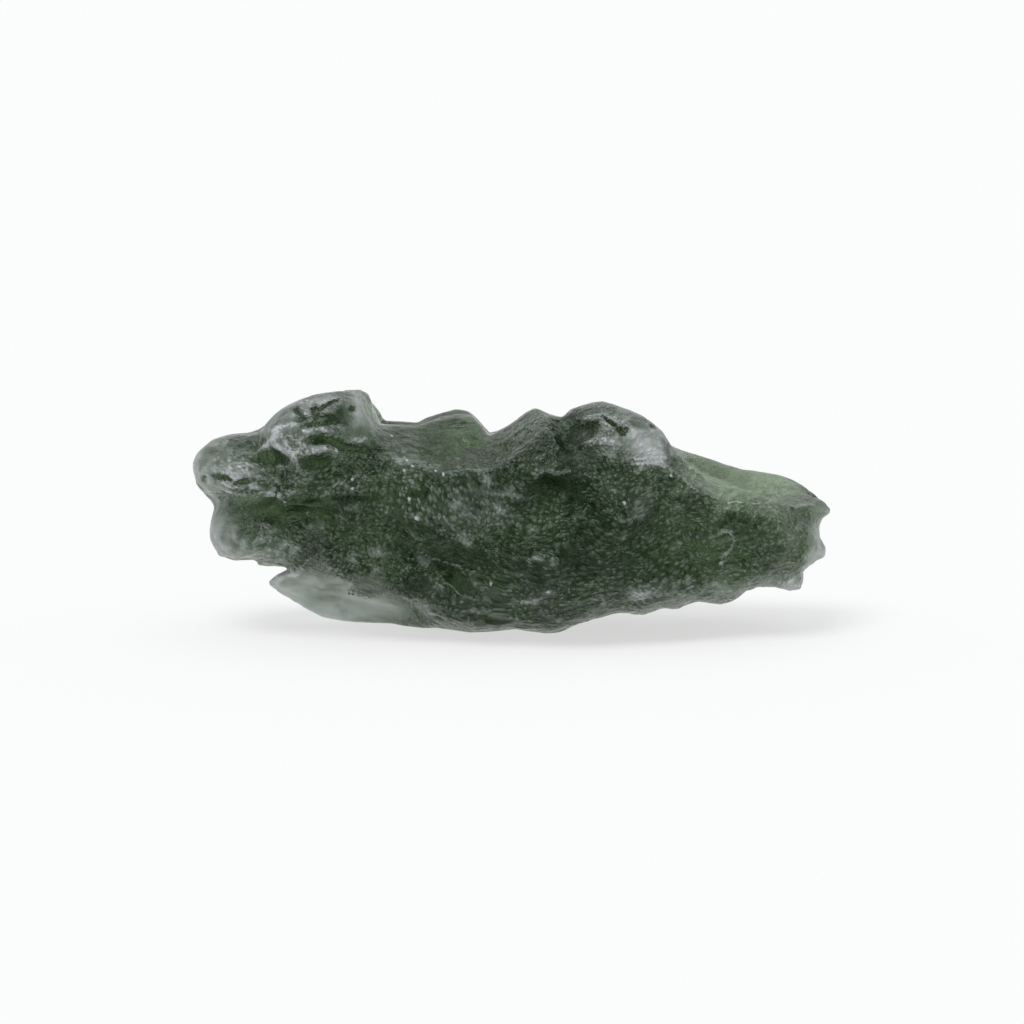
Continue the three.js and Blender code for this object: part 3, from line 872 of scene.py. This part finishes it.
def skin_textures(nodes, looks):
    """The skin's fine textures, by name."""
    flow = nodes.stored("flow")
    streak_place = nodes.add("ShaderNodeMapping", Vector=flow, Scale=STREAK_SCALE).outputs[0]
    streaks = nodes.add("ShaderNodeTexNoise", Vector=streak_place, Scale=1.0, Detail=STREAK_DETAIL).outputs[0]
    grain = nodes.add("ShaderNodeTexNoise", Vector=flow, Scale=GRAIN_SCALE, Detail=GRAIN_DETAIL).outputs[0]
    pits = nodes.add("ShaderNodeTexVoronoi", {"feature": "F1"}, Vector=flow, Scale=PIT_SCALE)
    cell = nodes.add("ShaderNodeTexVoronoi", {"feature": "DISTANCE_TO_EDGE"}, Vector=flow, Scale=WEB_SCALE)
    beads = bead_texture(nodes, flow, looks["broad"])

    ragged = nodes.math("SUBTRACT", grain, 0.5)
    window = nodes.ramp(nodes.math("MULTIPLY_ADD", ragged, WINDOW_RAGGED, looks["window"]), *WINDOW_EDGE)
    open_skin = nodes.math("SUBTRACT", 1.0, window)
    etched = nodes.math("MULTIPLY", looks["etched"], open_skin)
    crowd = nodes.math("MULTIPLY", nodes.ramp(looks["patches"], *CROWD_EDGE), etched)
    web = nodes.math("MULTIPLY", nodes.ramp(cell.outputs["Distance"], *WEB_EDGE), looks["web"])
    thread = nodes.ramp(nodes.math("MULTIPLY_ADD", ragged, THREAD_RAGGED, looks["thread"]), *THREAD_EDGE)
    return {
        "streaks": streaks,
        "grain": grain,
        "ragged": ragged,
        "pits": pits.outputs["Distance"],
        "beads": beads,
        "crowd": crowd,
        "open skin": open_skin,
        "strength": nodes.math("MULTIPLY_ADD", etched, 1 - CALM_SHARE, CALM_SHARE),
        "crowded beads": nodes.math("MULTIPLY", beads, crowd),
        "dashes": nodes.math("MULTIPLY", nodes.ramp(streaks, *DASH_EDGE), crowd),
        "thread": thread,
        "thread and web": nodes.math("MAXIMUM", nodes.math("MULTIPLY", web, open_skin), thread),
        "speck": nodes.ramp(looks["speck"], *SPECK_EDGE),
    }


def skin_bump(nodes, skin):
    """The normals of the skin, from how high each texture stands."""
    height = nodes.math("MULTIPLY", skin["streaks"], STREAK_HEIGHT)
    bead_height = nodes.math("MULTIPLY_ADD", skin["crowd"], BEAD_HEIGHT, LONE_BEAD_HEIGHT)
    height = nodes.math("MULTIPLY_ADD", skin["beads"], bead_height, height)
    for name, share in (("pits", PIT_DEPTH), ("thread", THREAD_BUMP), ("grain", GRAIN_HEIGHT)):
        height = nodes.math("MULTIPLY_ADD", skin[name], share, height)
    height = nodes.math("MULTIPLY", height, skin["strength"])
    return nodes.add("ShaderNodeBump", Strength=1.0, Distance=MM, Height=height).outputs[0]


def skin_veil(nodes, frost_and_sheen, skin):
    """How white the skin is, from 0 to 1: frost, threads, dust, painted sheen, and painted glints on the
    beads and dashes.
    """
    uneven = nodes.math("MULTIPLY_ADD", nodes.math("SUBTRACT", skin["streaks"], 0.5), STREAK_WHITE,
                        nodes.math("MULTIPLY", skin["ragged"], GRAIN_WHITE))
    whitening = nodes.math("MULTIPLY_ADD", uneven, skin["strength"], frost_and_sheen)
    whitening = nodes.math("MULTIPLY", nodes.ramp(whitening, *VEIL_EDGE), skin["open skin"])
    # painted glints: the beads and dashes are whitened as well as raised
    whites = (("crowded beads", BEAD_FROST_AND_GLINT), ("dashes", DASH_FROST_AND_GLINT), ("thread and web", THREAD_WHITE))
    for name, share in whites:
        whitening = nodes.math("MULTIPLY_ADD", skin[name], share, whitening)
    whitening = nodes.math("ADD", skin["speck"], whitening)
    return nodes.add("ShaderNodeClamp", Value=whitening).outputs[0]


def glass_material():
    """Green glass under a skin that is etched, frosted and clean by turns, with painted sheen and glints on
    it.
    """
    material = bpy.data.materials.new("moldavite_glass")
    material.use_nodes = True
    tree = material.node_tree
    tree.nodes.clear()
    nodes = Nodes(tree)
    looks = {name: nodes.stored(name) for name in LOOKS}
    skin = skin_textures(nodes, looks)
    whitening = skin_veil(nodes, looks["frost_and_sheen"], skin)
    clear = nodes.math("MULTIPLY", looks["clear"], skin["open skin"])
    murk = nodes.ramp(nodes.math("ADD", skin["streaks"], looks["patches"]), *MURK_EDGE)
    glass = nodes.blend(clear, nodes.blend(murk, BODY_DARK, BODY_LIGHT), CLEAR_TINT)
    tone = nodes.blend(whitening, glass, nodes.blend(clear, FROST_AND_SHEEN_TINT, GLOW_TINT))
    roughness = nodes.math("MULTIPLY_ADD", looks["patches"], ROUGH_PATCHES, ROUGH_LOW)
    roughness = nodes.math("MULTIPLY_ADD", whitening, ROUGH_FROST, roughness)
    clearness = nodes.math("MULTIPLY_ADD", whitening, -VEIL_BODY, 1.0)

    shader = nodes.add("ShaderNodeBsdfPrincipled", Base_Color=tone, Roughness=roughness,
                       Normal=skin_bump(nodes, skin), IOR=REFRACTION, Transmission_Weight=clearness,
                       Specular_Tint=GLOSS_TINT)
    depth = nodes.add("ShaderNodeVolumeAbsorption", Color=DEPTH_COLOUR, Density=DEPTH_DENSITY)
    output = nodes.add("ShaderNodeOutputMaterial")
    tree.links.new(shader.outputs[0], output.inputs["Surface"])
    tree.links.new(depth.outputs[0], output.inputs["Volume"])
    return material


def make_floor():
    half = FLOOR_SIZE / 2
    mesh = bpy.data.meshes.new("floor")
    corners = [(-half, -half, 0), (half, -half, 0), (half, half, 0), (-half, half, 0)]
    mesh.from_pydata(corners, [], [(0, 1, 2, 3)])
    material = bpy.data.materials.new("floor")
    material.use_nodes = True
    shader = material.node_tree.nodes["Principled BSDF"]
    shader.inputs["Base Color"].default_value = FLOOR_TONE
    shader.inputs["Roughness"].default_value = 1.0
    shader.inputs["Specular IOR Level"].default_value = 0.0
    shader.inputs["Emission Color"].default_value = (1, 1, 1, 1)
    shader.inputs["Emission Strength"].default_value = FLOOR_GLOW
    mesh.materials.append(material)
    floor = bpy.data.objects.new("floor", mesh)
    bpy.context.scene.collection.objects.link(floor)


def make_world():
    """A plain white studio, brighter above and behind the stone than on the camera's side."""
    world = bpy.data.worlds.new("studio")
    bpy.context.scene.world = world
    world.use_nodes = True
    tree = world.node_tree
    tree.nodes.clear()
    nodes = Nodes(tree)
    way = nodes.add("ShaderNodeTexCoord").outputs["Generated"]
    parts = nodes.add("ShaderNodeSeparateXYZ", Vector=way).outputs
    behind = nodes.ramp(parts[1], *WORLD_TURN, WORLD_FRONT, WORLD_BACK)
    above = nodes.ramp(parts[2], *WORLD_RISE, 0.0, WORLD_TOP)
    light = nodes.math("ADD", behind, above)
    seen = nodes.add("ShaderNodeLightPath").outputs["Is Camera Ray"]
    strength = nodes.add("ShaderNodeMix", {"data_type": "FLOAT"})
    for i, value in ((0, seen), (2, light), (3, PAPER_WHITE)):
        nodes.set(strength, str(i), value)
    background = nodes.add("ShaderNodeBackground", Color=WORLD_TINT, Strength=strength.outputs[0])
    output = nodes.add("ShaderNodeOutputWorld")
    tree.links.new(background.outputs[0], output.inputs["Surface"])


def make_lamp():
    lamp = bpy.data.lights.new("softbox", "SUN")
    lamp.energy = LAMP_ENERGY
    lamp.angle = math.radians(LAMP_ANGLE)
    softbox = bpy.data.objects.new("softbox", lamp)
    softbox.rotation_euler = Vector(LAMP_FROM).to_track_quat("Z", "Y").to_euler()
    bpy.context.scene.collection.objects.link(softbox)


def make_camera(shift):
    """A long lens at the photograph's angle, framed so that the stone's foot is on the photograph's row."""
    back = Vector((0, -math.cos(VIEW_TILT), math.sin(VIEW_TILT)))
    up = Vector((0, math.sin(VIEW_TILT), math.cos(VIEW_TILT)))
    foot = Vector((0, FOOT_FRONT_Y * MM + shift[1], 0))
    target = foot + up * (GROUND_PIXEL - FRAME_PIXELS / 2) * MM_PER_PIXEL * MM
    distance = MM_PER_PIXEL * FRAME_PIXELS * MM * LENS / SENSOR
    lens = bpy.data.cameras.new("camera")
    lens.lens = LENS
    lens.sensor_width = SENSOR
    camera = bpy.data.objects.new("camera", lens)
    camera.location = target + back * distance
    camera.rotation_euler = back.to_track_quat("Z", "Y").to_euler()
    bpy.context.scene.collection.objects.link(camera)
    bpy.context.scene.camera = camera


stone, shift = make_stone()
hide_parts(NODE)
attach(stone, "root")
make_floor()
make_world()
make_lamp()
make_camera(shift)
bpy.context.scene.view_settings.view_transform = "Standard"
